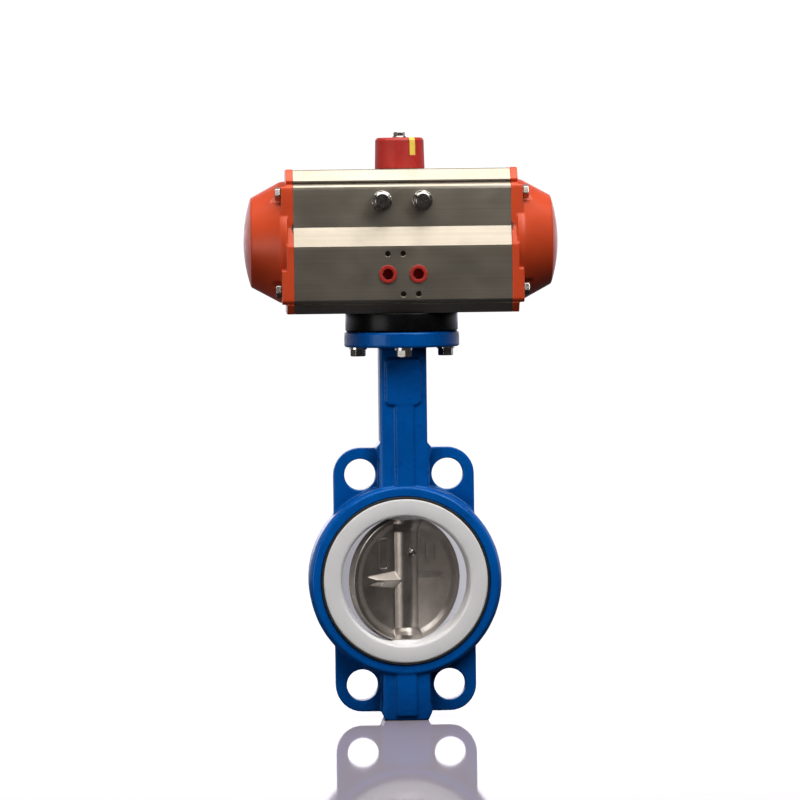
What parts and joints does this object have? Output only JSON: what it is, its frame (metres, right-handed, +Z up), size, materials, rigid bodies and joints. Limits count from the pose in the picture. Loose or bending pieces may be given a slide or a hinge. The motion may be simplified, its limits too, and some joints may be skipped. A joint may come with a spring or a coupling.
{
  "type": "pneumatically actuated butterfly valve",
  "caption": "Wafer butterfly valve with a lined seat, cast disc and long neck, turned a quarter turn by a rack-and-pinion air actuator with domed end caps and a position indicator.",
  "frame": {"origin": "where the pipe axis crosses the stem axis, in the middle of the seat", "axes": "+Z up the stem to the actuator; Y along the pipe, with -Y towards the side of the air ports; X along the actuator cylinder"},
  "size_m": [0.2508, 0.1079, 0.4686],
  "materials": {
    "blue_paint": "glossy coat over rough casting",
    "black_rubber": "satin",
    "white_ptfe": "smooth, slightly waxy",
    "cast_stainless": "bead-blasted casting",
    "turned_stainless": "turned",
    "bright_screws": "polished stainless",
    "bronze": "machined",
    "black_coat": "satin black",
    "anodised_body": "hard anodised extrusion",
    "orange_red_paint": "satin powder coat",
    "cast_aluminium": "die cast, machined",
    "nickel_steel": "nickel plated",
    "acetal": "machined",
    "red_plastic": "moulded",
    "yellow_plastic": "moulded",
    "spring_steel": "phosphated"
  },
  "bodies": {
    "housing": {"valve_body": "blue_paint", "seat_backing": "black_rubber", "ptfe_seat": "white_ptfe", "lower_stem_bush": "bronze", "middle_stem_bush": "bronze", "upper_stem_bush": "bronze", "stem_orings": "black_rubber", "gland_ring": "nickel_steel", "bottom_plug": "nickel_steel", "flange_bolts": "bright_screws", "flange_washers": "bright_screws", "mounting_spacer": "black_coat", "cylinder_body": "anodised_body", "left_end_cap": "orange_red_paint", "right_end_cap": "orange_red_paint", "left_cap_seal": "black_rubber", "right_cap_seal": "black_rubber", "left_cap_bolts": "bright_screws", "right_cap_bolts": "bright_screws", "lower_pinion_bearing": "acetal", "upper_pinion_bearing": "acetal", "lower_pinion_oring": "black_rubber", "upper_pinion_oring": "black_rubber", "thrust_washer": "acetal", "stop_lock_nuts": "bright_screws", "stop_seals": "black_rubber", "port_plugs": "red_plastic"},
    "shaft": {"disc": "cast_stainless", "stem": "turned_stainless", "disc_taper_pin": "turned_stainless", "pinion": "nickel_steel", "pinion_circlip": "spring_steel", "stop_cam": "nickel_steel", "indicator_cap": "red_plastic", "indicator_stripe": "yellow_plastic", "indicator_screw": "bright_screws"},
    "left_piston_set": {"left_piston": "cast_aluminium", "left_piston_oring": "black_rubber", "left_piston_band": "acetal", "left_rack_shoe": "acetal"},
    "right_piston_set": {"right_piston": "cast_aluminium", "right_piston_oring": "black_rubber", "right_piston_band": "acetal", "right_rack_shoe": "acetal"},
    "left_stop": {"left_stop_bolt": "bright_screws"},
    "right_stop": {"right_stop_bolt": "bright_screws"}
  },
  "joints": [
    {"name": "shaft_turn", "type": "hinge", "parent": "housing", "child": "shaft", "pos_m": [0, 0, 0], "axis": [0, 0, 1], "range_deg": [-30, 60]},
    {"name": "left_piston_slide", "type": "slide", "parent": "housing", "child": "left_piston_set", "axis": [-1, 0, 0], "range_m": [-0.0085, 0.0169]},
    {"name": "right_piston_slide", "type": "slide", "parent": "housing", "child": "right_piston_set", "axis": [1, 0, 0], "range_m": [-0.0085, 0.0169]},
    {"name": "left_stop_adjust", "type": "slide", "parent": "housing", "child": "left_stop", "axis": [0, -1, 0], "range_m": [0, 0.004]},
    {"name": "right_stop_adjust", "type": "slide", "parent": "housing", "child": "right_stop", "axis": [0, -1, 0], "range_m": [0, 0.004]}
  ],
  "couplings": [
    {"joint": "left_piston_slide", "follows": "shaft_turn", "m_per_rad": 0.016},
    {"joint": "right_piston_slide", "follows": "shaft_turn", "m_per_rad": 0.016}
  ]
}
